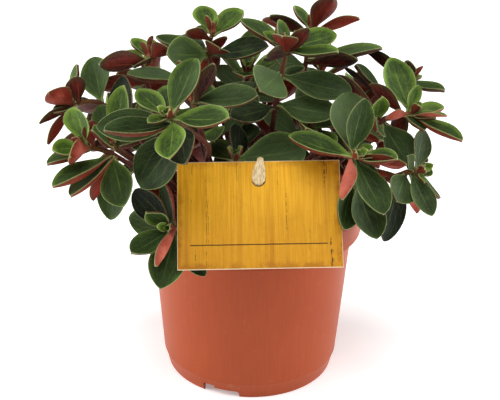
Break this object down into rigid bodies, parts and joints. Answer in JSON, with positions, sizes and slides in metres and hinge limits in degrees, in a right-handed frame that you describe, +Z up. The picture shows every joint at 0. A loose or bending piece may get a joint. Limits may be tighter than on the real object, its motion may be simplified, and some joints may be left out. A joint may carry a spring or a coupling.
{
  "type": "potted peperomia houseplant",
  "caption": "Bushy potted peperomia with whorls of thick blunt green leaves, maroon underneath, on reddish stems, in a round tapered nursery pot with a blank card tied on in front.",
  "frame": {"origin": "centre of the pot on the plane that its foot rests on; the leaves reach about evenly to both sides and to front and back", "axes": "+Z up along the pot's axis, -Y towards the viewer and the card, +X to the viewer's right"},
  "size_m": [0.2149, 0.1684, 0.205],
  "materials": {
    "terracotta_plastic": "satin injection-moulded plastic, terracotta brown",
    "soil": "damp dark potting mix, matt and lumpy",
    "printed_card": "satin card printed with golden wood planks, no lettering",
    "cream_ribbon": "soft semi-gloss cream ribbon",
    "leaf": "thick velvety leaf, green above with pale margins and side veins, maroon underneath"
  },
  "bodies": {
    "root": {"pot": "terracotta_plastic", "soil": "soil", "card": "printed_card", "card_tie": "cream_ribbon", "shoot_front_left": "leaf", "shoot_behind_left": "leaf", "shoot_left_inner": "leaf", "shoot_far_left": "leaf", "shoot_left_low": "leaf", "shoot_hanging_left": "leaf", "shoot_top_left": "leaf", "shoot_top_middle": "leaf", "shoot_left_middle": "leaf", "shoot_top_centre": "leaf", "shoot_top_right": "leaf", "shoot_front_right": "leaf", "shoot_right_low": "leaf", "shoot_right": "leaf", "shoot_right_top": "leaf", "shoot_right_side": "leaf", "shoot_centre_front": "leaf", "shoot_inner_left": "leaf", "shoot_inner_right": "leaf", "shoot_inner_far_left": "leaf", "shoot_inner_far_right": "leaf", "shoot_inner_middle": "leaf", "shoot_rear_left_side": "leaf", "shoot_rear_left": "leaf", "shoot_rear_left_low": "leaf", "shoot_rear_left_top": "leaf", "shoot_rear_middle": "leaf", "shoot_rear_middle_low": "leaf", "shoot_rear_right_top": "leaf", "shoot_rear_right": "leaf", "shoot_rear_right_low": "leaf", "shoot_rear_right_side": "leaf"}
  },
  "joints": []
}
